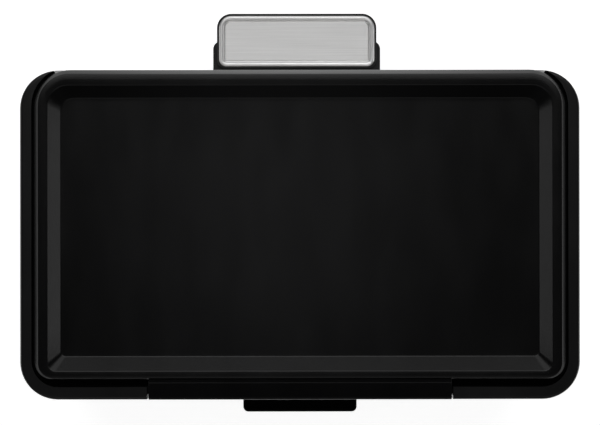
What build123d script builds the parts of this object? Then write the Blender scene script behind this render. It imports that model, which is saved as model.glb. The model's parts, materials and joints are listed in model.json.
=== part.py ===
from build123d import *
import os

# Step-on kitchen waste compactor: a steel bin with an inner bucket, a hinged lid that carries a hand
# press, and a front pedal that lifts the lid through a rod at the back.
# Millimetres. +Z is up, -Y is the front (the pedal side) and +X is the right of someone facing the bin.
# Every sub-part is modelled about the middle of the bin's body at floor level. BODY_Y then moves it back,
# so that the origin lies on the floor under the middle of the whole object's box.

# Whole object
BODY_Y = 33.0
FRAME_HALF_X = 245.0
FRAME_HALF_Y = 144.0
FRAME_R = 33.0
FRAME_LOW = 586.0
FRAME_TOP = 640.0
LEDGE_TOP = 622.0
WALL = 3.0

# Steel shell and base tray
SHELL_HALF_X = 238.0
SHELL_HALF_Y = 137.0
SHELL_R = 30.0
SHEET = 1.0
SHELL_LOW = 44.0
SHELL_TOP = 600.0
BASE_LIP = 2.0
BASE_LOW = 6.0
BASE_FLOOR = BASE_LOW + WALL
BASE_TOP = 64.0
FOOT_X = 205.0
FOOT_Y = 105.0
FOOT_R = 13.0
REST_X = 150.0
REST_Y = 60.0
REST_R = 12.0

# Mouth of the frame, bucket and bag ring: half width, front, rear and corner radius of each outline
MOUTH = (205.0, -115.0, 98.0, 32.0)
BUCKET_BASE = (185.0, -100.0, 82.0, 24.0)
BUCKET_MOUTH = (193.5, -108.0, 90.0, 28.0)
BUCKET_FLANGE = (202.0, -113.0, 95.0, 31.0)
RING_MOUTH = (188.0, -102.0, 84.0, 22.0)
BUCKET_WALL = 2.5
BUCKET_LOW = 56.0
BUCKET_FLANGE_LOW = 606.0
BUCKET_TOP = 609.0
RING_TOP = 618.0
RING_SKIRT_LOW = 592.0

# Lid
LID_HALF_X = 232.3
LID_FRONT = -144.5
LID_REAR = 126.0
LID_FRONT_R = 31.5
LID_REAR_R = 16.0
SKIRT_LOW = 622.8
LID_LOW = 626.0
LID_TOP = 646.0
LID_WALL = 2.5
LID_ROUND = 3.0
LID_GAP = 2.7
SEAT_REAR = 135.0
SEAT_REAR_R = 23.6
RIM_INNER = (221.0, -131.0, 119.0)
PANEL = (209.5, -120.0, 106.5)
PANEL_TOP = 637.0
LINER_TOP = LID_LOW + WALL
LINER_SCREWS = [(188.0, -98.0), (-188.0, -98.0), (188.0, 78.0), (-188.0, 78.0), (0.0, -106.0), (0.0, 84.0)]

# Lid hinge at the back of the frame
HINGE_Y = 133.0
HINGE_Z = 636.0
HINGE_PIN_R = 2.5
KNUCKLE_R = 6.0
COVER_HALF_X = 132.6
NOTCH_HALF_X = 134.0
COVER_TOP = 645.0
COVER_THICK = 2.5
LUG_X = (107.0, 119.0)
TROUGH_FLOOR = 612.0
RUNNING_GAP = 0.05

# Hand press under the lid
PRESS_HALF_X = 164.0
PRESS_FRONT = -90.0
PRESS_REAR = 66.0
PRESS_PIVOT_Y = 72.0
PRESS_PIVOT_Z = 582.0
PRESS_PIN_R = 4.0
PRESS_LOW = 578.0
PRESS_TOP = 582.0
RIB_LOW = 574.0
GRIP_HALF_X = 66.0
GRIP_LOW = 606.0
GRIP_TOP = 616.0
HANGER_X = (168.0, 174.0)

# Pedal and lift linkage
PIVOT_Y = -40.0
PIVOT_Z = 30.0
PIVOT_PIN_R = 4.0
ARM_X = (56.0, 64.0)
ARM_Z = (24.0, 36.0)
ARM_FRONT = -157.5
ARM_REAR = 117.0
PAD_HALF_X = 80.0
PAD_FRONT = -222.0
PAD_REAR = -167.0
PAD_R = 13.0
PAD_LOW = 40.0
PAD_TOP = 52.0
PAD_RIM = 7.0
PAD_SHEET = 1.2
PAD_SINK = 1.5
CARRIER_HALF_X = 84.0
CARRIER_FRONT = -195.0
CARRIER_REAR = -158.0
CARRIER_LOW = 32.0
ROD_Y = 111.0
ROD_R = 3.0
ROD_LOW = 37.0
ROD_TOP = 612.5
ROD_CAP_TOP = 617.5
DAMPER_Z = (103.0, 177.0)

# Wall spacer at the back
SPACER_HALF_X = 50.0
SPACER_REAR = 156.0
SPACER_Z = (556.0, 606.0)


def outline(half_x, front, rear, front_r, rear_r=None):
    """Flat rounded rectangle whose front edge is the one at the lower Y."""
    face = Pos(0, (front + rear) / 2) * Rectangle(2 * half_x, rear - front)
    face = fillet(face.vertices().group_by(Axis.Y)[0], front_r)
    return fillet(face.vertices().group_by(Axis.Y)[-1], rear_r or front_r)


def grown(sizes, by):
    """Outline of (half width, front, rear, corner radius) moved outwards by a distance."""
    half_x, front, rear, radius = sizes
    return outline(half_x + by, front - by, rear + by, radius + by)


def slab(face, low, high):
    return extrude(Pos(0, 0, low) * face, high - low)


def tapered(low_face, low, high_face, high):
    """Straight-sided solid between two outlines at different heights."""
    return loft([(Pos(0, 0, low) * low_face).face(), (Pos(0, 0, high) * high_face).face()], ruled=True)


def block(x, y, z):
    """Box given by its low and high value along each axis."""
    spans = (x, y, z)
    centre = [(low + high) / 2 for low, high in spans]
    size = [high - low for low, high in spans]
    return Pos(*centre) * Box(*size)


def rod_x(x, y, z, radius):
    return Pos(sum(x) / 2, y, z) * Rot(0, 90, 0) * Cylinder(radius, x[1] - x[0])


def rod_y(x, y, z, radius):
    return Pos(x, sum(y) / 2, z) * Rot(90, 0, 0) * Cylinder(radius, y[1] - y[0])


def rod_z(x, y, z, radius):
    return Pos(x, y, sum(z) / 2) * Cylinder(radius, z[1] - z[0])


def two_sided(shape):
    """The shape and its mirror image on the other side of the bin."""
    return shape + mirror(shape, about=Plane.YZ)


def group(shapes):
    """Separate solids kept together as one shape."""
    return Part() + shapes


def edges_at(shape, height):
    return shape.edges().filter_by(lambda edge: abs(edge.bounding_box().min.Z - height) < 0.01
                                   and abs(edge.bounding_box().max.Z - height) < 0.01)


def shell_outline(inset):
    return outline(SHELL_HALF_X - inset, inset - SHELL_HALF_Y, SHELL_HALF_Y - inset, SHELL_R - inset)


def lid_outline(inset):
    return outline(LID_HALF_X - inset, LID_FRONT + inset, LID_REAR - inset,
                   LID_FRONT_R - inset, LID_REAR_R - inset)


# Housing

def steel_shell():
    """Wrap of brushed sheet between the base tray and the top frame."""
    return slab(shell_outline(0), SHELL_LOW, SHELL_TOP) - slab(shell_outline(SHEET), SHELL_LOW, SHELL_TOP)


def base_tray():
    """Moulded tray that the shell stands on, with two slots in its front wall for the pedal arms."""
    half_x = SHELL_HALF_X + BASE_LIP
    half_y = SHELL_HALF_Y + BASE_LIP
    tray = slab(outline(half_x, -half_y, half_y, SHELL_R + BASE_LIP), BASE_LOW, SHELL_LOW)
    tray = chamfer(edges_at(tray, BASE_LOW), 1.5)
    tray += slab(shell_outline(SHEET), SHELL_LOW, BASE_TOP)
    tray -= slab(shell_outline(SHEET + WALL), BASE_FLOOR, BASE_TOP)
    tray -= two_sided(block((ARM_X[0] - 2, ARM_X[1] + 2), (-half_y - 1, 7 - half_y), (BASE_FLOOR, 39)))
    for x in (-REST_X, REST_X):
        for y in (-REST_Y, REST_Y):
            tray += rod_z(x, y, (BASE_FLOOR, BUCKET_LOW), REST_R)
            tray -= rod_z(x, y, (BASE_FLOOR, BUCKET_LOW - WALL), REST_R - WALL)
    return tray


def rubber_feet():
    feet = []
    for x in (-FOOT_X, FOOT_X):
        for y in (-FOOT_Y, FOOT_Y):
            foot = rod_z(x, y, (0, BASE_LOW), FOOT_R)
            feet.append(chamfer(edges_at(foot, 0), 1.5))
    return group(feet)


def rear_spacer():
    """Block that keeps the opened lid off the wall behind the bin, with counterbored screw holes."""
    face = outline(SPACER_HALF_X, SHELL_HALF_Y, SPACER_REAR, 0.5, 4.5)
    spacer = slab(face, *SPACER_Z)
    spacer = fillet(edges_at(spacer, SPACER_Z[1]), 1.5)
    for x in (-30, 30):
        spacer -= rod_y(x, (SHELL_HALF_Y, SPACER_REAR), sum(SPACER_Z) / 2, 2.0)
        spacer -= rod_y(x, (SPACER_REAR - 6, SPACER_REAR), sum(SPACER_Z) / 2, 4.5)
    return spacer


def spacer_screws():
    """Pan-head screws in the spacer's counterbores."""
    middle = sum(SPACER_Z) / 2
    head = rod_y(30, (SPACER_REAR - 6, SPACER_REAR - 3), middle, 4.0)
    return two_sided(head + rod_y(30, (SHELL_HALF_Y, SPACER_REAR - 6), middle, 2.0))


def lid_lugs():
    """Two lugs on the trough floor that the lid's hinge pins turn in."""
    lug = rod_x(LUG_X, HINGE_Y, HINGE_Z, KNUCKLE_R)
    lug += block(LUG_X, (HINGE_Y - 6.5, HINGE_Y - 2.5), (TROUGH_FLOOR, HINGE_Z - 3))
    lug += block(LUG_X, (HINGE_Y - 12, HINGE_Y - 2.5), (TROUGH_FLOOR, HINGE_Z - 15))
    return two_sided(lug - rod_x(LUG_X, HINGE_Y, HINGE_Z, HINGE_PIN_R + RUNNING_GAP))


def top_frame():
    """Frame round the mouth: raised shoulders at the sides and back, and a lower ledge under the lid."""
    high = FRAME_TOP + 1
    frame = slab(outline(FRAME_HALF_X, -FRAME_HALF_Y, FRAME_HALF_Y, FRAME_R), FRAME_LOW, FRAME_TOP)
    frame = fillet(edges_at(frame, FRAME_TOP), 2.5)
    frame = chamfer(edges_at(frame, FRAME_LOW), 1.0)
    seat_front_r = LID_FRONT_R + LID_GAP
    seat = outline(LID_HALF_X + LID_GAP, LID_FRONT - LID_GAP, SEAT_REAR, seat_front_r, SEAT_REAR_R)
    frame -= slab(seat, LEDGE_TOP, high)
    frame -= slab(grown(MOUTH, 0), FRAME_LOW, high)
    frame -= slab(shell_outline(0), FRAME_LOW, SHELL_TOP)
    trough_x = (-NOTCH_HALF_X - WALL, NOTCH_HALF_X + WALL)
    pocket = slab(shell_outline(7), SHELL_TOP, LEDGE_TOP - WALL)
    pocket -= slab(grown(MOUTH, WALL), SHELL_TOP, LEDGE_TOP - WALL)
    pocket -= block(trough_x, (MOUTH[2], FRAME_HALF_Y), (TROUGH_FLOOR - WALL, LEDGE_TOP))
    frame -= pocket
    notch_x = (-NOTCH_HALF_X, NOTCH_HALF_X)
    frame -= block(notch_x, (MOUTH[2] + WALL, SHELL_HALF_Y - 7), (TROUGH_FLOOR, high))
    frame -= block(notch_x, (MOUTH[2] + WALL, FRAME_HALF_Y + 1), (LEDGE_TOP, high))
    frame -= block(notch_x, (SHELL_HALF_Y, FRAME_HALF_Y + 1), (FRAME_LOW, high))
    frame -= rod_z(0, ROD_Y, (TROUGH_FLOOR - WALL, TROUGH_FLOOR), ROD_R + 2)
    return frame + lid_lugs()


def lid_bumpers():
    """Soft pads at the front of the ledge that the closed lid comes down on."""
    return two_sided(block((170, 190), (-138, -129), (LEDGE_TOP, LID_LOW - 0.1)))


def inner_bucket():
    bottom = grown(BUCKET_BASE, BUCKET_WALL)
    top = grown(BUCKET_MOUTH, BUCKET_WALL)
    bucket = tapered(bottom, BUCKET_LOW, top, BUCKET_FLANGE_LOW)
    bucket += slab(grown(BUCKET_FLANGE, 0), BUCKET_FLANGE_LOW, BUCKET_TOP)
    bucket -= tapered(grown(BUCKET_BASE, 0), BUCKET_LOW + BUCKET_WALL, grown(BUCKET_MOUTH, 0), BUCKET_TOP)
    return bucket


def bag_ring():
    """Ring on the bucket's flange that traps the edge of the waste bag."""
    ring = slab(grown(BUCKET_FLANGE, 0), BUCKET_TOP, RING_TOP)
    ring = fillet(edges_at(ring, RING_TOP), 2.0)
    ring += slab(grown(RING_MOUTH, BUCKET_WALL), RING_SKIRT_LOW, BUCKET_TOP)
    return ring - slab(grown(RING_MOUTH, 0), RING_SKIRT_LOW, RING_TOP)


# Linkage parts that are fixed to the housing

def pivot_brackets():
    """Angle brackets on the tray floor that hold the ends of the pedal's pin."""
    y = (PIVOT_Y - 12, PIVOT_Y + 12)
    bracket = block((70, 73), y, (BASE_FLOOR, PIVOT_Z + 10))
    bracket += block((73, 90), y, (BASE_FLOOR, BASE_FLOOR + 3))
    bracket -= rod_x((70, 73), PIVOT_Y, PIVOT_Z, PIVOT_PIN_R)
    return two_sided(bracket)


def bracket_screws():
    """Screws that hold the pivot brackets down."""
    screws = [rod_z(x, y, (BASE_FLOOR + 3, BASE_FLOOR + 5.5), 3.5)
              for x in (-82, 82) for y in (PIVOT_Y - 7, PIVOT_Y + 7)]
    return group(screws)


def pedal_pin():
    pin = rod_x((-73, 73), PIVOT_Y, PIVOT_Z, PIVOT_PIN_R)
    return pin + two_sided(rod_x((73, 75), PIVOT_Y, PIVOT_Z, PIVOT_PIN_R + 2))


def rod_guides():
    """Two guides on the back of the shell that the lift rod slides through."""
    guides = []
    for low in (250, 430):
        guide = block((-9, 9), (ROD_Y - 7, SHELL_HALF_Y - SHEET), (low, low + 16))
        guides.append(guide - rod_z(0, ROD_Y, (low, low + 16), ROD_R + RUNNING_GAP))
    return group(guides)


def damper_cylinder():
    """Air damper round the lower end of the lift rod, which slows the lid as it closes."""
    low, high = DAMPER_Z
    cylinder = rod_z(0, ROD_Y, DAMPER_Z, 10) - rod_z(0, ROD_Y, (low + WALL, high - WALL), 7)
    return cylinder - rod_z(0, ROD_Y, DAMPER_Z, ROD_R + RUNNING_GAP)


def damper_bracket():
    saddle = block((-14, 14), (ROD_Y + 4, SHELL_HALF_Y - SHEET), (120, 160))
    return saddle - rod_z(0, ROD_Y, (120, 160), 10)


# Lift rod

def push_rod():
    """Steel rod from the pedal lever up to the lid, with a flattened foot."""
    return rod_z(0, ROD_Y, (ROD_LOW, ROD_TOP), ROD_R) + rod_z(0, ROD_Y, (ROD_LOW, ROD_LOW + 3), 6)


def rod_cap():
    cap = rod_z(0, ROD_Y, (ROD_TOP, ROD_CAP_TOP), 4.5)
    return fillet(edges_at(cap, ROD_CAP_TOP), 1.5)


def damper_piston():
    low = DAMPER_Z[0] + 12
    return rod_z(0, ROD_Y, (low, low + 6), 6.9) - rod_z(0, ROD_Y, (low, low + 6), ROD_R)


# Pedal

def pedal_lever():
    """Frame of two side arms, a rear bar under the lift rod and a flat plate under the pad."""
    arm = block(ARM_X, (ARM_FRONT, ARM_REAR), ARM_Z)
    arm -= rod_x(ARM_X, PIVOT_Y, PIVOT_Z, PIVOT_PIN_R + RUNNING_GAP)
    lever = two_sided(arm)
    lever += block((-ARM_X[1], ARM_X[1]), (ARM_REAR - 12, ARM_REAR), ARM_Z)
    return lever + block((-ARM_X[1], ARM_X[1]), (-205, -150), (CARRIER_LOW - 3, CARRIER_LOW))


def pedal_carrier():
    """Moulded block between the lever and the pad, a little wider than the pad at the back."""
    carrier = slab(outline(CARRIER_HALF_X, CARRIER_FRONT, CARRIER_REAR, 8, 3), CARRIER_LOW, PAD_LOW)
    carrier += slab(outline(PAD_HALF_X - 4, PAD_FRONT + 4, PAD_REAR - 4, PAD_R - 4), CARRIER_LOW, PAD_LOW)
    filler = outline(PAD_HALF_X - PAD_SHEET, PAD_FRONT + PAD_SHEET, PAD_REAR - PAD_SHEET, PAD_R - PAD_SHEET)
    return carrier + slab(filler, PAD_LOW, PAD_TOP - PAD_SHEET - PAD_SINK)


def pedal_pad():
    """Pressed steel cap with a rolled rim round a sunken tread."""
    pad = slab(outline(PAD_HALF_X, PAD_FRONT, PAD_REAR, PAD_R), PAD_LOW, PAD_TOP)
    pad = fillet(edges_at(pad, PAD_TOP), 2.5)
    inner = (PAD_HALF_X - PAD_SHEET, PAD_FRONT + PAD_SHEET, PAD_REAR - PAD_SHEET, PAD_R - PAD_SHEET)
    sunken = (PAD_HALF_X - PAD_RIM, PAD_FRONT + PAD_RIM, PAD_REAR - PAD_RIM, PAD_R - PAD_RIM)
    pad -= slab(outline(*inner), PAD_LOW, PAD_TOP - PAD_SHEET - PAD_SINK)
    return pad - slab(outline(*sunken), PAD_TOP - PAD_SINK, PAD_TOP)


# Lid

def lid_outer():
    """Lid cover with a raised rim round a sunken flat panel, open underneath."""
    cover = fillet(edges_at(slab(lid_outline(0), SKIRT_LOW, LID_TOP), LID_TOP), LID_ROUND)
    recess = tapered(outline(*PANEL, 12, 4.5), PANEL_TOP, outline(*RIM_INNER, 18, 8), LID_TOP)
    skin = tapered(grown((*PANEL, 12), LID_WALL), PANEL_TOP - LID_WALL,
                   grown((*RIM_INNER, 18), LID_WALL), LID_TOP)
    cover -= slab(lid_outline(LID_WALL), SKIRT_LOW, LID_TOP - LID_WALL) - skin
    cover -= recess
    for x, y in LINER_SCREWS:
        cover += rod_z(x, y, (LINER_TOP, PANEL_TOP - LID_WALL), 4)
        cover -= rod_z(x, y, (LINER_TOP, PANEL_TOP - LID_WALL - 1), 1.8)
    return cover


def lid_liner():
    """Flat inner panel that closes the lid from below."""
    liner = slab(lid_outline(LID_WALL), LID_LOW, LINER_TOP)
    for x, y in LINER_SCREWS:
        liner -= rod_z(x, y, (LID_LOW, LINER_TOP), 1.8)
    return liner


def liner_screws():
    screws = []
    for x, y in LINER_SCREWS:
        head = rod_z(x, y, (LID_LOW - 2.5, LID_LOW), 3.8)
        screws.append(head + rod_z(x, y, (LID_LOW, PANEL_TOP - LID_WALL - 1), 1.8))
    return group(screws)


def hinge_cover():
    """Tail of the lid that fills the notch at the back, with the knuckles for the hinge pins."""
    x = (-COVER_HALF_X, COVER_HALF_X)
    under = COVER_TOP - COVER_THICK
    profile = block(x, (LID_REAR, FRAME_HALF_Y), (under, COVER_TOP))
    profile += block(x, (FRAME_HALF_Y - 2.5, FRAME_HALF_Y), (HINGE_Z - 3, COVER_TOP))
    cover = fillet(profile.edges().filter_by(Axis.X).group_by(Axis.Y)[-1].group_by(Axis.Z)[-1], 2.0)
    cover -= block(x, (LID_REAR, LID_REAR + 3.3), (COVER_TOP - 1.2, COVER_TOP))
    for knuckle_x in ((98.0, 106.5), (119.5, 128.0)):
        knuckle = rod_x(knuckle_x, HINGE_Y, HINGE_Z, KNUCKLE_R)
        knuckle += block(knuckle_x, (HINGE_Y - KNUCKLE_R, HINGE_Y + KNUCKLE_R), (HINGE_Z, under))
        cover += two_sided(knuckle - rod_x(knuckle_x, HINGE_Y, HINGE_Z, HINGE_PIN_R))
    return cover


def hinge_pins():
    return two_sided(rod_x((97, 129), HINGE_Y, HINGE_Z, HINGE_PIN_R))


def lid_seal():
    """Rubber strip under the lid that meets the ledge round the mouth."""
    return slab(grown(MOUTH, 7), LEDGE_TOP + 0.3, LID_LOW) - slab(grown(MOUTH, 1), LEDGE_TOP + 0.3, LID_LOW)


def lift_crank():
    """Lug in front of the hinge line that the rod's cap pushes up."""
    crank = block((-12, 12), (HINGE_Y - 27, HINGE_Y - 14), (ROD_CAP_TOP + 0.5, LID_LOW))
    return chamfer(crank.edges().filter_by(Axis.Z), 2)


def odour_filter():
    return block((-43, 43), (-86, -40), (616, 624))


def filter_cover():
    """Slotted tray that holds the charcoal pad against the lid."""
    tray = block((-45, 45), (-88, -38), (614, LID_LOW)) - block((-43, 43), (-86, -40), (616, LID_LOW))
    for step in range(-6, 7):
        tray -= block((6 * step - 1.5, 6 * step + 1.5), (-80, -46), (614, 616))
    return tray


def press_magnet():
    return rod_z(0, 0, (618, LID_LOW), 8)


def press_hangers():
    """Side brackets that carry the press's pivot pins below the lid."""
    y = (PRESS_PIVOT_Y - 10, PRESS_PIVOT_Y + 6)
    hanger = block(HANGER_X, y, (PRESS_PIVOT_Z, LID_LOW))
    hanger += rod_x(HANGER_X, PRESS_PIVOT_Y, PRESS_PIVOT_Z, 8)
    hanger += block((HANGER_X[0] - 18, HANGER_X[1]), y, (LID_LOW - 3, LID_LOW))
    return two_sided(hanger - rod_x(HANGER_X, PRESS_PIVOT_Y, PRESS_PIVOT_Z, PRESS_PIN_R + RUNNING_GAP))


def hanger_screws():
    screws = [rod_z(x, y, (LID_LOW - 5.5, LID_LOW - 3), 3)
              for x in (-158, 158) for y in (PRESS_PIVOT_Y - 7, PRESS_PIVOT_Y + 3)]
    return group(screws)


# Hand press

def press_plate():
    """Ribbed plate that pushes the waste down, hinged at its back edge."""
    plate = slab(outline(PRESS_HALF_X, PRESS_FRONT, PRESS_REAR, 14, 4), PRESS_LOW, PRESS_TOP)
    for x in (-120, -60, 0, 60, 120):
        plate += block((x - 1.5, x + 1.5), (PRESS_FRONT + 8, PRESS_REAR - 6), (RIB_LOW, PRESS_LOW))
    for y in (-60, -14, 32):
        plate += block((8 - PRESS_HALF_X, PRESS_HALF_X - 8), (y - 1.5, y + 1.5), (RIB_LOW, PRESS_LOW))
    boss_x = (PRESS_HALF_X - 14, PRESS_HALF_X)
    boss = rod_x(boss_x, PRESS_PIVOT_Y, PRESS_PIVOT_Z, 8)
    boss += block(boss_x, (PRESS_PIVOT_Y - 20, PRESS_PIVOT_Y), (PRESS_LOW, PRESS_PIVOT_Z + 4))
    return plate + two_sided(boss) - two_sided(rod_x(boss_x, PRESS_PIVOT_Y, PRESS_PIVOT_Z, PRESS_PIN_R))


def press_pins():
    return two_sided(rod_x((PRESS_HALF_X - 14, HANGER_X[1] + 2), PRESS_PIVOT_Y, PRESS_PIVOT_Z, PRESS_PIN_R))


def press_grip():
    """Bar handle on top of the press plate."""
    bar = block((-GRIP_HALF_X, GRIP_HALF_X), (-8, 8), (GRIP_LOW, GRIP_TOP))
    bar = fillet(bar.edges().filter_by(Axis.X), 3)
    post = block((GRIP_HALF_X - 12, GRIP_HALF_X), (-8, 8), (PRESS_TOP, GRIP_LOW + 4))
    post += block((GRIP_HALF_X - 16, GRIP_HALF_X + 8), (-12, 12), (PRESS_TOP, PRESS_TOP + 3))
    return bar + two_sided(fillet(post.edges().filter_by(Axis.Z), 2))


def strike_plate():
    """Steel plate on the grip that the lid's magnet holds."""
    return block((-15, 15), (-5, 5), (GRIP_TOP, GRIP_TOP + 1.5))


PARTS = {
    "steel_shell": steel_shell,
    "base_tray": base_tray,
    "rubber_feet": rubber_feet,
    "rear_spacer": rear_spacer,
    "spacer_screws": spacer_screws,
    "top_frame": top_frame,
    "lid_bumpers": lid_bumpers,
    "inner_bucket": inner_bucket,
    "bag_ring": bag_ring,
    "pivot_brackets": pivot_brackets,
    "bracket_screws": bracket_screws,
    "pedal_pin": pedal_pin,
    "rod_guides": rod_guides,
    "damper_cylinder": damper_cylinder,
    "damper_bracket": damper_bracket,
    "push_rod": push_rod,
    "rod_cap": rod_cap,
    "damper_piston": damper_piston,
    "pedal_lever": pedal_lever,
    "pedal_carrier": pedal_carrier,
    "pedal_pad": pedal_pad,
    "lid_outer": lid_outer,
    "lid_liner": lid_liner,
    "liner_screws": liner_screws,
    "hinge_cover": hinge_cover,
    "hinge_pins": hinge_pins,
    "lid_seal": lid_seal,
    "lift_crank": lift_crank,
    "odour_filter": odour_filter,
    "filter_cover": filter_cover,
    "press_magnet": press_magnet,
    "press_hangers": press_hangers,
    "hanger_screws": hanger_screws,
    "press_plate": press_plate,
    "press_pins": press_pins,
    "press_grip": press_grip,
    "strike_plate": strike_plate,
}

os.makedirs("parts", exist_ok=True)
for name, make in PARTS.items():
    export_step(Pos(0, BODY_Y, 0) * make(), f"parts/{name}.step")
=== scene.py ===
import json
import math

import bmesh
import bpy
from mathutils import Matrix, Vector

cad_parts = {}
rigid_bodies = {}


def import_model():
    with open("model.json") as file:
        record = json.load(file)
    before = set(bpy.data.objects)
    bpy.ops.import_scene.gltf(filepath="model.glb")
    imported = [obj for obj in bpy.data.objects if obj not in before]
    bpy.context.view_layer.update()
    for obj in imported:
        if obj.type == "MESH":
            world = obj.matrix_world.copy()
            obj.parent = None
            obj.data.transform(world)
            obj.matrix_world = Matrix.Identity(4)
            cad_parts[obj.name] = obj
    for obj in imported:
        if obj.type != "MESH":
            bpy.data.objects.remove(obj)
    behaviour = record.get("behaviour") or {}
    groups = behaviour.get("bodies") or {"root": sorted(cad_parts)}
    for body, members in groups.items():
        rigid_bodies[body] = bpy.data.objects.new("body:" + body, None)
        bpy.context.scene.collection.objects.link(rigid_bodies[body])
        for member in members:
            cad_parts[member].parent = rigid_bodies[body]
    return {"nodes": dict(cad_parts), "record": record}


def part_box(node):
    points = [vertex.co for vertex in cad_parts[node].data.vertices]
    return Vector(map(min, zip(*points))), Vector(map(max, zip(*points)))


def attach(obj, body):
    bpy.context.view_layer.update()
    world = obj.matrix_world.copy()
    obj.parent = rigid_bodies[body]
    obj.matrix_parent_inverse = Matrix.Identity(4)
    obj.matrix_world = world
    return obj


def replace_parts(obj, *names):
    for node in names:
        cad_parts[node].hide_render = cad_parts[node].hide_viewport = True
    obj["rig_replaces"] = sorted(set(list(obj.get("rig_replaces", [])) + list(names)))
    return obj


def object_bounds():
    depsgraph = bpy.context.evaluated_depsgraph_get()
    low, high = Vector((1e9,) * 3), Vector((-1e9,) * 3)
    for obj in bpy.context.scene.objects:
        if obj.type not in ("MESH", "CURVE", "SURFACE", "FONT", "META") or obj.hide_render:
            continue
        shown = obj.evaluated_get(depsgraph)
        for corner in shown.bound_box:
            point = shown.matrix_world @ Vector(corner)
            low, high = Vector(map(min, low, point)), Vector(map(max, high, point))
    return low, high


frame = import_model()
cad_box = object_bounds()
scene = bpy.context.scene

# A step-on waste compactor on a pale studio floor. Metres, in the part's own frame: +Z up, -Y the front.

BODY_Y = (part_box("top_frame")[0].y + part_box("top_frame")[1].y) / 2
TOP = cad_box[1].z
CORNER_STEPS, SIDE_STEPS = 14, 10
SAME_POINT, SAME_PLANE = 2e-6, math.radians(0.6)
EDGE_ROUND = 0.0005
SHARP, SMOOTH = math.radians(35), math.radians(32)
ROOM_GLOW, ROOM_SEEN = 0.04, 0.95
FLOOR_GLOW = 0.81


# ---------------------------------------------------------------- rounded-rectangle lofts

def station(half_x, front, rear, front_r, rear_r=None):
    """Outline of a rounded rectangle: half width, front and rear Y, and the corner radii."""
    return (half_x, front, rear, front_r, front_r if rear_r is None else rear_r)


def inset(outline, by):
    """The outline moved inwards by a distance."""
    half_x, front, rear, front_r, rear_r = outline
    return (half_x - by, front + by, rear - by, max(front_r - by, 1e-4), max(rear_r - by, 1e-4))


def mixed(a, b, share):
    return tuple(p + (q - p) * share for p, q in zip(a, b))


def of_node(node, front_r, rear_r=None):
    """Outline of a node's own box."""
    low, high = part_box(node)
    return station(high.x, low.y, high.y, front_r, rear_r)


def ring(outline, z, bow=0.0):
    """Points round the outline at one height, anticlockwise from the right-hand side's rear end."""
    half_x, front, rear, front_r, rear_r = outline
    centres = ((half_x - rear_r, rear - rear_r, rear_r), (rear_r - half_x, rear - rear_r, rear_r),
               (front_r - half_x, front + front_r, front_r), (half_x - front_r, front + front_r, front_r))
    corners = []
    for turn, (x, y, r) in enumerate(centres):
        angles = [math.pi / 2 * (turn + step / CORNER_STEPS) for step in range(CORNER_STEPS + 1)]
        corners.append([Vector((x + r * math.cos(a), y + r * math.sin(a), z)) for a in angles])
    points = []
    for turn, corner in enumerate(corners):
        points += corner
        start, end = corner[-1], corners[(turn + 1) % 4][0]
        points += [start.lerp(end, step / SIDE_STEPS) for step in range(1, SIDE_STEPS)]
    middle, half_y = (front + rear) / 2, (rear - front) / 2
    for point in points:
        swell = 1 - ((point.y - middle) / half_y) ** 2
        point.x -= math.copysign(bow * swell, point.x) if abs(point.x) > half_x / 2 else 0
    return points


def rounded_path(corners, steps=5):
    """2D path through (u, z, radius) corners, each turned into an arc of that radius."""
    path = []
    last = len(corners) - 1
    for i, (u, z, radius) in enumerate(corners):
        here = Vector((u, z))
        if radius == 0 or i in (0, last):
            path.append(here)
            continue
        back = (Vector(corners[i - 1][:2]) - here).normalized()
        ahead = (Vector(corners[i + 1][:2]) - here).normalized()
        half = back.angle(ahead) / 2
        middle = here + (back + ahead).normalized() * (radius / math.sin(half))
        start = here + back * (radius / math.tan(half)) - middle
        end = here + ahead * (radius / math.tan(half)) - middle
        for step in range(steps + 1):
            arm = start.slerp(end, step / steps) if start.angle(end) > 1e-4 else start
            path.append(middle + arm.normalized() * radius)
    return path


def loft(sections, closed=False):
    """Mesh through rings of points: capped at both ends, or a closed band that meets itself."""
    mesh = bmesh.new()
    rows = [[mesh.verts.new(point) for point in section] for section in sections]
    count = len(rows[0])
    pairs = list(zip(rows, rows[1:])) + ([(rows[-1], rows[0])] if closed else [])
    for one, two in pairs:
        for i in range(count):
            j = (i + 1) % count
            mesh.faces.new((one[i], one[j], two[j], two[i]))
    if not closed:
        mesh.faces.new(rows[0])
        mesh.faces.new(rows[-1])
    bmesh.ops.recalc_face_normals(mesh, faces=mesh.faces)
    return mesh


def swept(outlines, path, closed=False, bow=0.0):
    """Loft whose cross-section is a path of (distance inwards, height); outlines gives the outline there."""
    return loft([ring(outlines(u), z, bow) for u, z in path], closed)


# ---------------------------------------------------------------- other mesh helpers

def prism(profile, low_x, high_x):
    """Solid of a (y, z) profile drawn out along X."""
    mesh = bmesh.new()
    ends = [[mesh.verts.new((x, y, z)) for y, z in profile] for x in (low_x, high_x)]
    count = len(profile)
    for i in range(count):
        j = (i + 1) % count
        mesh.faces.new((ends[0][i], ends[0][j], ends[1][j], ends[1][i]))
    mesh.faces.new(ends[0])
    mesh.faces.new(ends[1])
    bmesh.ops.recalc_face_normals(mesh, faces=mesh.faces)
    return mesh


def add(mesh, other):
    """Puts another mesh into this one."""
    data = bpy.data.meshes.new("part")
    other.to_mesh(data)
    other.free()
    mesh.from_mesh(data)
    bpy.data.meshes.remove(data)


def sharp_edges(mesh):
    return [e for e in mesh.edges if len(e.link_faces) == 2 and e.calc_face_angle(0) > SHARP]


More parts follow.
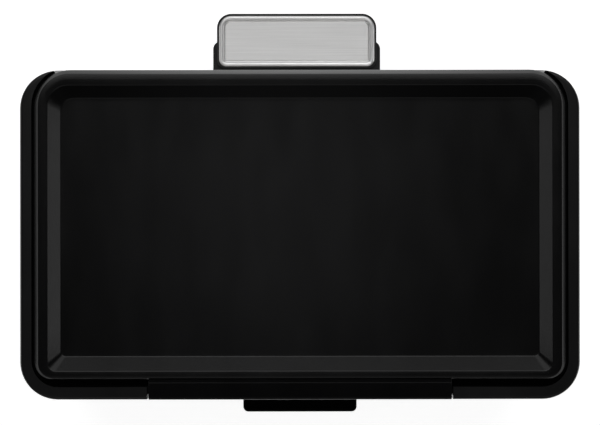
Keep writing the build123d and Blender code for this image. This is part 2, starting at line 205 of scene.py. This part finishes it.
def on_outline(point, outline, reach=0.0002):
    """The inward direction at a point that lies on a rounded-rectangle outline, or None if it doesn't."""
    half_x, front, rear, front_r, rear_r = outline
    radius = front_r if point.y < (front + rear) / 2 else rear_r
    centre = Vector((max(radius - half_x, min(half_x - radius, point.x)),
                     max(front + radius, min(rear - radius, point.y)), point.z))
    arm = point - centre
    return -arm.normalized() if abs(arm.length - radius) < reach else None


def from_cad(node, cuts=(), shape=None, merged=True):
    """A node's shape: flat faces merged, cut at heights, reshaped by a function, and its edges rounded."""
    mesh = bmesh.new()
    mesh.from_mesh(frame["nodes"][node].data)
    bmesh.ops.remove_doubles(mesh, verts=mesh.verts, dist=SAME_POINT)
    if merged:
        bmesh.ops.dissolve_limit(mesh, angle_limit=SAME_PLANE, verts=mesh.verts, edges=mesh.edges)
    for height in cuts:
        everything = mesh.verts[:] + mesh.edges[:] + mesh.faces[:]
        bmesh.ops.bisect_plane(mesh, geom=everything, plane_co=(0, 0, height), plane_no=(0, 0, 1))
    if shape:
        shape(mesh)
    bmesh.ops.bevel(mesh, geom=sharp_edges(mesh), offset=EDGE_ROUND, segments=2, profile=0.5,
                    affect="EDGES", clamp_overlap=True, loop_slide=True)
    return mesh


def piece(name, mesh, material, body, slot, *nodes, even=True):
    """Object for one piece: shaded smooth up to an angle, on its body, standing for its CAD nodes."""
    data = bpy.data.meshes.new(name)
    mesh.to_mesh(data)
    mesh.free()
    for polygon in data.polygons:
        polygon.use_smooth = True
    data.set_sharp_from_angle(angle=SMOOTH)
    data.materials.append(material)
    made = bpy.data.objects.new(name, data)
    scene.collection.objects.link(made)
    if even:
        made.modifiers.new("even_flats", "WEIGHTED_NORMAL").keep_sharp = True
    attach(made, body)
    if nodes:
        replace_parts(made, *nodes)
    return made


# ---------------------------------------------------------------- materials

class Nodes:
    """A material's node tree, with short calls for the nodes used here."""

    def __init__(self, name):
        self.material = bpy.data.materials.new(name)
        self.material.use_nodes = True
        self.tree = self.material.node_tree
        self.shader = self.tree.nodes["Principled BSDF"]
        self.place = self.tree.nodes.new("ShaderNodeTexCoord").outputs["Object"]

    def link(self, source, target):
        self.tree.links.new(source, target)

    def set(self, **values):
        for name, value in values.items():
            self.shader.inputs[name.replace("_", " ")].default_value = value

    def scaled(self, scale):
        """The object's own coordinates, stretched along each axis."""
        node = self.tree.nodes.new("ShaderNodeMapping")
        node.inputs["Scale"].default_value = scale
        self.link(self.place, node.inputs["Vector"])
        return node.outputs["Vector"]

    def noise(self, scale, detail=3.0, rough=0.5, stretch=(1, 1, 1)):
        node = self.tree.nodes.new("ShaderNodeTexNoise")
        node.inputs["Scale"].default_value = scale
        node.inputs["Detail"].default_value = detail
        node.inputs["Roughness"].default_value = rough
        self.link(self.scaled(stretch), node.inputs["Vector"])
        return node.outputs["Fac"]

    def ranged(self, value, low, high, from_low=0.3, from_high=0.7):
        node = self.tree.nodes.new("ShaderNodeMapRange")
        node.inputs["From Min"].default_value = from_low
        node.inputs["From Max"].default_value = from_high
        node.inputs["To Min"].default_value = low
        node.inputs["To Max"].default_value = high
        self.link(value, node.inputs["Value"])
        return node.outputs["Result"]

    def blended(self, share, one, two):
        node = self.tree.nodes.new("ShaderNodeMix")
        node.data_type = "RGBA"
        self.put(one, node.inputs["A"])
        self.put(two, node.inputs["B"])
        self.link(share, node.inputs["Factor"])
        return node.outputs["Result"]

    def put(self, colour, target):
        """Sets a colour, or links one that other nodes make."""
        if isinstance(colour, tuple):
            target.default_value = (*colour, 1)
        else:
            self.link(colour, target)

    def near(self, place, reach):
        """1 at a place on the object, falling smoothly to 0 at a distance."""
        away = self.tree.nodes.new("ShaderNodeVectorMath")
        away.operation = "DISTANCE"
        away.inputs[1].default_value = place
        self.link(self.place, away.inputs[0])
        return self.smooth(away.outputs["Value"], 1, 0, 0, reach)

    def smooth(self, value, low, high, from_low, from_high):
        result = self.ranged(value, low, high, from_low, from_high)
        result.node.interpolation_type = "SMOOTHSTEP"
        return result

    def bumped(self, *layers):
        """Bump from (height, distance in metres, strength) layers, one on another."""
        normal = None
        for height, distance, strength in layers:
            node = self.tree.nodes.new("ShaderNodeBump")
            node.inputs["Distance"].default_value = distance
            node.inputs["Strength"].default_value = strength
            self.link(height, node.inputs["Height"])
            if normal is not None:
                self.link(normal, node.inputs["Normal"])
            normal = node.outputs["Normal"]
        self.link(normal, self.shader.inputs["Normal"])


def moulded(name, dark, light, rough, grain=0.00002, specular=0.5, painted_sheen=None):
    """Moulded plastic: fine grain, slow flow mottling, uneven gloss, and, if given, a painted pale patch of
    reflected light.
    """
    nodes = Nodes(name)
    mottle = nodes.noise(9, 4, 0.6)
    fine = nodes.noise(2600, 2, 0.6)
    smear = nodes.noise(38, 3, 0.5, (1, 0.35, 1))
    colour = nodes.blended(nodes.ranged(mottle, 0, 1), dark, light)
    # Painted sheen: the colour turns paler round a place, standing in for a soft reflection.
    if painted_sheen:
        place, reach, sheen_colour = painted_sheen
        colour = nodes.blended(nodes.near(place, reach), colour, sheen_colour)
    nodes.link(colour, nodes.shader.inputs["Base Color"])
    nodes.link(nodes.ranged(smear, rough - 0.02, rough + 0.03), nodes.shader.inputs["Roughness"])
    nodes.bumped((fine, grain, 0.55), (mottle, 0.0004, 0.05))
    nodes.set(Specular_IOR_Level=specular)
    return nodes.material


def brushed(name, dark, light, rough, stretch, streak=900, across=None):
    """Brushed steel: fine streaks and slow clouding, and gloss drawn out round an axis if one is given."""
    nodes = Nodes(name)
    streaks = nodes.noise(streak, 4, 0.7, stretch)
    hair = nodes.noise(streak * 3, 2, 0.6, stretch)
    cloud = nodes.noise(7, 3, 0.5)
    tone = nodes.blended(nodes.ranged(streaks, 0, 1), dark, light)
    gloss = nodes.ranged(cloud, rough - 0.03, rough + 0.05)
    nodes.link(tone, nodes.shader.inputs["Base Color"])
    nodes.link(gloss, nodes.shader.inputs["Roughness"])
    nodes.bumped((streaks, 0.00004, 0.35), (hair, 0.00002, 0.3))
    nodes.set(Metallic=1.0)
    if across:
        grain = nodes.tree.nodes.new("ShaderNodeTangent")
        grain.direction_type = "RADIAL"
        grain.axis = across
        nodes.link(grain.outputs["Tangent"], nodes.shader.inputs["Tangent"])
        nodes.set(Anisotropic=0.5)
    return nodes.material


def felted(name):
    nodes = Nodes(name)
    fibres = nodes.noise(1400, 5, 0.7, (1, 1, 3))
    nodes.link(nodes.blended(nodes.ranged(fibres, 0, 1), (0.012, 0.012, 0.013), (0.05, 0.05, 0.052)),
               nodes.shader.inputs["Base Color"])
    nodes.bumped((fibres, 0.0006, 0.9))
    nodes.set(Roughness=0.95, Sheen_Weight=0.3)
    return nodes.material


COAL, SOOT = (0.0018, 0.0018, 0.0020), (0.0034, 0.0034, 0.0037)
# Painted sheen on the lid: a pale patch of reflected light painted into its colour near the middle, fading
# outwards.
LID_PAINTED_SHEEN = ((0.025, BODY_Y - 0.02, TOP), 0.23, (0.0150, 0.0150, 0.0155))
BLACK = moulded("black_moulding", COAL, SOOT, 0.30, specular=0.36)
LID_BLACK = moulded("lid_moulding", (0.0011, 0.0011, 0.0012), (0.0022, 0.0022, 0.0024), 0.23,
                    specular=0.34, painted_sheen=LID_PAINTED_SHEEN)
# Painted shade: a darker, duller copy of the frame's black for the seat under the lid's edge, standing for
# the shade in the gap.
SEAT_PAINTED_SHADE = moulded("seat_painted_shade", (0.0010, 0.0010, 0.0011), (0.0020, 0.0020, 0.0022), 0.42,
                     specular=0.12)
HINGE_BLACK = moulded("hinge_moulding", COAL, SOOT, 0.22, specular=0.16)
# Gloss-black parts: black plastic, darkened further and made nearly unreflecting as painted shade for the
# rear block, which sits in shadow.
JET_PAINTED_SHADE = moulded("jet_painted_shade", (0.0004, 0.0004, 0.0004), (0.0009, 0.0009, 0.0009), 0.30, specular=0.06)
GREY = moulded("grey_moulding", (0.16, 0.16, 0.165), (0.20, 0.20, 0.205), 0.48)
DARK = moulded("dark_grey_moulding", (0.038, 0.038, 0.041), (0.052, 0.052, 0.056), 0.45)
RUBBER = moulded("black_rubber", (0.018, 0.018, 0.018), (0.032, 0.032, 0.032), 0.72, 0.00005, 0.3)
TREAD_STEEL = brushed("tread_steel", (0.65, 0.647, 0.644), (0.75, 0.747, 0.744), 0.33, (0.012, 1, 1),
                      across="X")
# Bead steel: the cap's own steel, given a paler colour than the tread as painted highlight on the polished
# bead.
BEAD_PAINTED_SHEEN_STEEL = brushed("bead_painted_sheen_steel", (0.84, 0.837, 0.834), (0.90, 0.897, 0.894), 0.34, (1, 1, 1), 1500)
SHELL_STEEL = brushed("shell_steel", (0.44, 0.435, 0.43), (0.58, 0.575, 0.57), 0.34, (1, 1, 0.008),
                      across="Z")
ZINC = brushed("zinc_steel", (0.42, 0.43, 0.45), (0.58, 0.59, 0.60), 0.34, (1, 1, 1), 300)
FELT = felted("charcoal_felt")
BY_SLOT = {"black_plastic": BLACK, "gloss_black": JET_PAINTED_SHADE, "brushed_steel": SHELL_STEEL, "zinc_steel": ZINC,
           "rubber": RUBBER, "grey_plastic": GREY, "dark_grey_plastic": DARK, "charcoal_felt": FELT}
SLOT_OF = {row["node"]: row["material_slot"] for row in frame["record"]["subparts"]}
BODY_OF = {node: body for body, nodes in frame["record"]["behaviour"]["bodies"].items() for node in nodes}


# ---------------------------------------------------------------- pieces

LID = of_node("lid_outer", 0.0315, 0.016)
LID_RIM_INNER = station(LID[0] - 0.0113, LID[1] + 0.0135, LID[2] - 0.007, 0.018, 0.008)
LID_PANEL = station(LID[0] - 0.0228, LID[1] + 0.0245, LID[2] - 0.0195, 0.0125, 0.0045)
RIM_AT, PANEL_AT = 0.0113, 0.0228
PANEL_SINK = 0.009
FACET = 0.0032
FACET_FALL = 0.0046
REAR_FACET, REAR_FALL = 0.0009, 0.0014
LIP_DEPTH = 0.0037
LIP_FALL_CORNER, LIP_FALL_MIDDLE = 0.0050, 0.0092


def lid_outline(u):
    """The lid's outline at a distance u inwards from its edge: facet, then rim, then slope to the panel."""
    if u > PANEL_AT:
        return inset(LID_PANEL, u - PANEL_AT)
    if u > RIM_AT:
        return mixed(LID_RIM_INNER, LID_PANEL, (u - RIM_AT) / (PANEL_AT - RIM_AT))
    half_x, _, _, front_r, rear_r = mixed(LID, LID_RIM_INNER, u / RIM_AT)
    on_facet, on_rim = min(u / FACET, 1), max(0, u - FACET) / (RIM_AT - FACET)
    front = LID[1] + LIP_DEPTH * on_facet + (LID_RIM_INNER[1] - LID[1] - LIP_DEPTH) * on_rim
    rear = LID[2] - REAR_FACET * on_facet + (LID_RIM_INNER[2] - LID[2] + REAR_FACET) * on_rim
    return (half_x, front, rear, front_r, rear_r)


def lid_section(u, z):
    """Points round the lid: its facet runs further down at the front, and most of all in the middle."""
    outline = lid_outline(u)
    points = ring(outline, z)
    half_x, front, rear, radius, rear_r = outline
    skirt_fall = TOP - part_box("lid_outer")[0].z
    fall = TOP - z
    for point in points:
        to_front = max(0.0, min(1.0, (front + radius - point.y) / radius))
        to_rear = max(0.0, min(1.0, (point.y - rear + rear_r) / rear_r))
        middle = 1 - (point.x / half_x) ** 2
        lip = LIP_FALL_CORNER + (LIP_FALL_MIDDLE - LIP_FALL_CORNER) * middle
        foot = FACET_FALL + (lip - FACET_FALL) * to_front - (FACET_FALL - REAR_FALL) * to_rear
        if u > FACET:
            continue
        if fall <= FACET_FALL:
            point.z = TOP - fall * foot / FACET_FALL
        else:
            point.z = TOP - foot - (fall - FACET_FALL) * (skirt_fall - foot) / (skirt_fall - FACET_FALL)
    return points


def lid_cover():
    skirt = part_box("lid_outer")[0].z
    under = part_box("lid_liner")[1].z + 0.0005
    wall = 0.0025
    crown = 0.0002
    path = rounded_path([
        (0, skirt, 0), (0, TOP - FACET_FALL, 0.0012), (FACET, TOP - crown, 0.0009), (0.0072, TOP, 0.02),
        (RIM_AT, TOP - crown / 2, 0.0016), (PANEL_AT, TOP - PANEL_SINK, 0.0016),
        (PANEL_AT + 0.004, TOP - PANEL_SINK, 0)])
    inner = [ring(inset(LID, wall), under), ring(inset(LID, wall), skirt + 0.0003),
             ring(inset(LID, wall - 0.0005), skirt), ring(inset(LID, 0.0005), skirt)]
    outer = [lid_section(u, z) for u, z in [(0, skirt + 0.0006)] + path[1:]]
    piece("lid_cover", loft(inner + outer), LID_BLACK, "lid", "black_plastic", "lid_outer", even=False)


PAD = of_node("pedal_pad", 0.0143, 0.0095)
PAD_LOW, PAD_HIGH = (corner.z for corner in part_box("pedal_pad"))
GASKET, GASKET_WIDTH = 0.0013, 0.0026
GASKET_LOW, GASKET_TOP = PAD_LOW + 0.0004, PAD_HIGH - 0.0008
TREAD_Z = PAD_HIGH - 0.0011
BEAD, OUTER_FALL, INNER_FALL = 0.0057, 0.0026, 0.0016
BEAD_STEPS = 14


def pad_cap():
    """Steel cap of the pedal: a smooth bead all round a brushed tread that lies a little lower."""
    cap = inset(PAD, GASKET)
    path = [(0, PAD_LOW)]
    for step in range(BEAD_STEPS + 1):
        a = math.pi * step / BEAD_STEPS
        fall = OUTER_FALL if a < math.pi / 2 else INNER_FALL
        path.append((BEAD / 2 * (1 - math.cos(a)), PAD_HIGH - fall * (1 - math.sin(a))))
    bead_faces = len(path) * len(ring(cap, 0))
    groove = PAD_HIGH - INNER_FALL - 0.0001
    path += rounded_path([(BEAD + 0.0005, groove, 0), (BEAD + 0.0013, TREAD_Z, 0.0006),
                          (BEAD + 0.0035, TREAD_Z, 0)])
    made = piece("pad_cap", swept(lambda u: inset(cap, u), path), TREAD_STEEL, "pedal",
                 "brushed_steel", "pedal_pad")
    # The bead faces take the paler steel, whose extra brightness is painted highlight.
    made.data.materials.append(BEAD_PAINTED_SHEEN_STEEL)
    for polygon in made.data.polygons[:bead_faces]:
        polygon.material_index = 1


def pad_gasket():
    """Black edging strip that the cap's turned-down edge sits in."""
    path = rounded_path([(GASKET_WIDTH, GASKET_LOW, 0), (0, GASKET_LOW, 0.0004), (0, GASKET_TOP, 0.0010),
                         (GASKET_WIDTH, GASKET_TOP, 0)], 3)
    piece("pad_gasket", swept(lambda u: inset(PAD, u), path, closed=True), RUBBER, "pedal", "rubber")


FRAME = of_node("top_frame", 0.033)
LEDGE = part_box("lid_bumpers")[0].z
APRON_LOW, APRON_DEPTH = LEDGE - 0.010, 0.0021
APRON_REAR = BODY_Y - 0.1
SHOULDER, SHOULDER_EDGE = 0.007, 0.0008
LID_GAP, REAR_SHOULDER = 0.0027, 0.009
SEAT = station(LID[0] + LID_GAP, LID[1] - LID_GAP, FRAME[2] - REAR_SHOULDER, 0.0315, 0.0236)
REAR_EXTRA = 0.0019
RIB = [(0.0032, -0.030), (0.0032, 0.004), (0.0045, 0.007), (0.0080, 0.007), (0.0080, -0.030)]
RIB_WIDTH, RIB_GAP = 0.0022, 0.0001
LEVEL = 0.0001


def reshaped_frame(mesh):
    """Thickens the rear shoulder, and leans the front wall in towards the ledge between the shoulders."""
    shoulder = {v for v in mesh.verts if v.co.z > LEDGE + 0.001}
    for vert in mesh.verts:
        off_seat = on_outline(vert.co, SEAT)
        if off_seat is not None and vert.co.z > LEDGE - LEVEL:
            vert.co += off_seat * REAR_EXTRA * max(0.0, -off_seat.y)
            continue
        inwards = on_outline(vert.co, FRAME)
        if inwards is None or vert.co.y > APRON_REAR:
            continue
        lean = inwards * APRON_DEPTH * max(0.0, inwards.y)
        under_shoulder = any(e.other_vert(vert) in shoulder for e in vert.link_edges)
        if abs(vert.co.z - LEDGE) < LEVEL and not under_shoulder:
            vert.co += lean
        elif abs(vert.co.z - APRON_LOW) < LEVEL:
            vert.co -= lean / 2


def top_frame():
    """Frame with grained outer faces and shoulders, a smooth seat inside them darkened with painted shade,
    and two notch ribs.
    """
    mesh = from_cad("top_frame", cuts=(APRON_LOW,), shape=reshaped_frame)
    notch_x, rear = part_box("hinge_cover")[1].x + RIB_GAP, FRAME[2]
    for side in (-1, 1):
        face, root = side * notch_x, side * (notch_x + RIB_WIDTH)
        profile = [(rear - y, LEDGE + z) for y, z in RIB]
        add(mesh, prism(profile, min(face, root), max(face, root)))
    made = piece("top_frame_made", mesh, BLACK, "housing", "black_plastic", "top_frame")
    made.data.materials.append(SEAT_PAINTED_SHADE)
    # Faces inside the shoulders and below their top get the painted-shade copy of the black.
    seat_top = max(v.co.z for v in made.data.vertices if abs(v.co.x) > LID[0]) - SHOULDER_EDGE
    half_x, half_y = FRAME[0] - SHOULDER, (FRAME[2] - FRAME[1]) / 2 - SHOULDER
    for polygon in made.data.polygons:
        x, y, z = polygon.center
        inside = abs(x) < half_x and abs(y - BODY_Y) < half_y
        polygon.material_index = 1 if inside and z < seat_top else 0


SHELL = of_node("steel_shell", 0.030)
SHEET, SHEET_EDGE = 0.001, 0.0004
SEAM = [(-0.0065, -0.0004), (-0.0065, 0.0003), (-0.0059, 0.0007), (0.0050, 0.0007), (0.0065, 0.0002),
        (0.0065, -0.0004)]
SEAM_END, SEAM_GAP = 0.0015, 0.001


def steel_shell():
    """Brushed sheet wrapped round and lock-seamed at the back, its cut edges rounded."""
    low, high = (corner.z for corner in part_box("steel_shell"))
    path = rounded_path([(SHEET / 2, low, 0), (0, low, SHEET_EDGE), (0, high, SHEET_EDGE),
                         (SHEET, high, SHEET_EDGE), (SHEET, low, SHEET_EDGE), (SHEET / 2, low, 0)], 2)
    mesh = swept(lambda u: inset(SHELL, u), path[:-1], closed=True)
    heights = (low + SEAM_END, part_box("top_frame")[0].z - SEAM_GAP)
    add(mesh, loft([[Vector((x, SHELL[2] + y, z)) for x, y in SEAM] for z in heights]))
    piece("shell_wrap", mesh, SHELL_STEEL, "housing", "brushed_steel", "steel_shell")


FLANGE = of_node("inner_bucket", 0.031)
BUCKET_BASE = station(FLANGE[0] - 0.017, FLANGE[1] + 0.013, FLANGE[2] - 0.013, 0.024)
BUCKET_MOUTH = station(FLANGE[0] - 0.0085, FLANGE[1] + 0.005, FLANGE[2] - 0.005, 0.028)
BUCKET_WALL, FLANGE_THICK = 0.0025, 0.003
FLANGE_EDGE, FLANGE_ROUND, MOUTH_ROUND = 0.0004, 0.0008, 0.0010
FLOOR_ROUND, FLOOR_STEPS = 0.012, 6
STEP_FALLS, STEP_DEPTH = (0.0700, 0.0712, 0.0760, 0.0790), 0.0012


def floor_edge(floor, inwards, radius):
    """Quarter circle of (height, distance inwards) from a floor up to a wall."""
    turns = [math.pi / 2 * step / FLOOR_STEPS for step in range(FLOOR_STEPS + 1)]
    return [(floor + radius * (1 - math.cos(a)), inwards + radius * (1 - math.sin(a))) for a in turns]


def inner_bucket():
    """Tapered moulding with a rounded floor edge, a stacking step below its mouth and a thin flange."""
    low, high = (corner.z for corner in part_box("inner_bucket"))
    under = high - FLANGE_THICK

    def wall(z, inwards):
        return ring(inset(mixed(BUCKET_BASE, BUCKET_MOUTH, (z - low) / (high - low)), inwards), z)

    outside = floor_edge(low, -BUCKET_WALL, FLOOR_ROUND + BUCKET_WALL)
    step = [(high - fall, depth) for fall, depth in zip(STEP_FALLS, (0, STEP_DEPTH, STEP_DEPTH, 0))]
    inside = floor_edge(low + BUCKET_WALL, 0, FLOOR_ROUND)[::-1]
    sections = [wall(z, inwards) for z, inwards in outside]
    sections += [wall(under, -BUCKET_WALL), ring(inset(FLANGE, FLANGE_EDGE), under),
                 ring(FLANGE, under + FLANGE_EDGE), ring(FLANGE, high - FLANGE_ROUND),
                 ring(inset(FLANGE, FLANGE_ROUND), high), wall(high, -MOUTH_ROUND)]
    sections += [ring(BUCKET_MOUTH, high - MOUTH_ROUND)]
    sections += [wall(z, inwards) for z, inwards in step + inside]
    piece("bucket_moulding", loft(sections), GREY, "housing", "grey_plastic", "inner_bucket")


# Nodes whose flat faces have holes through them, which merging would close.
HOLED = ("filter_cover", "press_grip")


def carried_over():
    """Every CAD node that nothing else has replaced, with its edges rounded."""
    made = {node for o in scene.objects if "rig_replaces" in o for node in o["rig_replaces"]}
    for node in sorted(set(frame["nodes"]) - made):
        slot = SLOT_OF[node]
        material = HINGE_BLACK if node == "hinge_cover" else BY_SLOT[slot]
        piece(node + "_made", from_cad(node, merged=node not in HOLED), material, BODY_OF[node], slot, node)


lid_cover()
pad_cap()
pad_gasket()
top_frame()
steel_shell()
inner_bucket()
carried_over()


# ---------------------------------------------------------------- studio

def camera():
    """Long lens straight above the bin, with the front of the bin at the top of the picture."""
    data = bpy.data.cameras.new("camera")
    made = bpy.data.objects.new("camera", data)
    scene.collection.objects.link(made)
    distance, view_width, roll = 4.0, 0.5243, math.radians(-0.07)
    aside, aim_ahead = 0.021, 0.0195
    data.sensor_width = 36
    data.lens = data.sensor_width * distance / view_width
    data.clip_end = 200
    made.location = (aside, BODY_Y, TOP + distance)
    aim = Vector((0, BODY_Y - aim_ahead, TOP))
    away = (made.location - aim).normalized()
    up = Vector((math.sin(roll), -math.cos(roll), 0))
    right = up.cross(away).normalized()
    made.rotation_euler = Matrix((right, away.cross(right), away)).transposed().to_euler()
    scene.camera = made


def softbox(name, place, aim, size, radiance):
    """Area light of one radiance all over, unseen by the camera."""
    data = bpy.data.lights.new(name, "AREA")
    data.shape = "RECTANGLE"
    data.size, data.size_y = size
    data.energy = radiance * math.pi * size[0] * size[1]
    made = bpy.data.objects.new(name, data)
    made.location = place
    made.rotation_euler = (aim - place).to_track_quat("-Z", "Y").to_euler()
    made.visible_camera = False
    scene.collection.objects.link(made)


def backdrop():
    """Pale room seen by the camera, and nearly dark to everything else, so the softboxes do the lighting."""
    world = bpy.data.worlds.new("studio")
    world.use_nodes = True
    tree = world.node_tree
    room = tree.nodes["Background"]
    room.inputs["Color"].default_value = (1, 1, 1, 1)
    seen = tree.nodes.new("ShaderNodeLightPath")
    strength = tree.nodes.new("ShaderNodeMapRange")
    strength.inputs["To Min"].default_value = ROOM_GLOW
    strength.inputs["To Max"].default_value = ROOM_SEEN
    tree.links.new(seen.outputs["Is Camera Ray"], strength.inputs["Value"])
    tree.links.new(strength.outputs["Result"], room.inputs["Strength"])
    scene.world = world


def floor():
    """White paper on a light table, as wide as the room."""
    mesh = bmesh.new()
    bmesh.ops.create_grid(mesh, x_segments=1, y_segments=1, size=40)
    data = bpy.data.meshes.new("floor")
    mesh.to_mesh(data)
    mesh.free()
    nodes = Nodes("floor_paper")
    nodes.link(nodes.blended(nodes.noise(3, 2), (0.87, 0.87, 0.87), (0.9, 0.9, 0.9)),
               nodes.shader.inputs["Base Color"])
    nodes.set(Roughness=0.9, Specular_IOR_Level=0.1, Emission_Color=(1, 1, 1, 1),
              Emission_Strength=FLOOR_GLOW)
    data.materials.append(nodes.material)
    made = bpy.data.objects.new("floor", data)
    scene.collection.objects.link(made)


# Name, place and aim measured from the middle of the lid, size, and radiance.
SOFTBOXES = (
    ("left_box", (-2.2, 0.05, 0.48), (0, 0.05, 0.48), (1.5, 0.9), 1.75),
    ("right_box", (2.2, 0.05, 0.48), (0, 0.05, 0.48), (1.5, 0.9), 1.5),
    ("front_box", (0, -2.4, 0.5), (0, 0, 0.5), (2.4, 0.9), 0.3),
    ("over_front", (0, -1.9, 1.9), (0, 0, 0), (3.4, 1.8), 1.0),
    ("over_rear", (0, 1.5, 2.5), (0, 0, 0), (3.0, 1.3), 0.5),
    ("high_front", (0, -1.3, 3.5), (0, 0, 0), (2.2, 1.1), 2.0),
)


def studio():
    """Plain pale floor and room, and softboxes round and above the bin."""
    scene.view_settings.view_transform = "Standard"
    backdrop()
    floor()
    middle = Vector((0, BODY_Y, TOP))
    for name, place, aim, size, radiance in SOFTBOXES:
        softbox(name, middle + Vector(place), middle + Vector(aim), size, radiance)


camera()
studio()
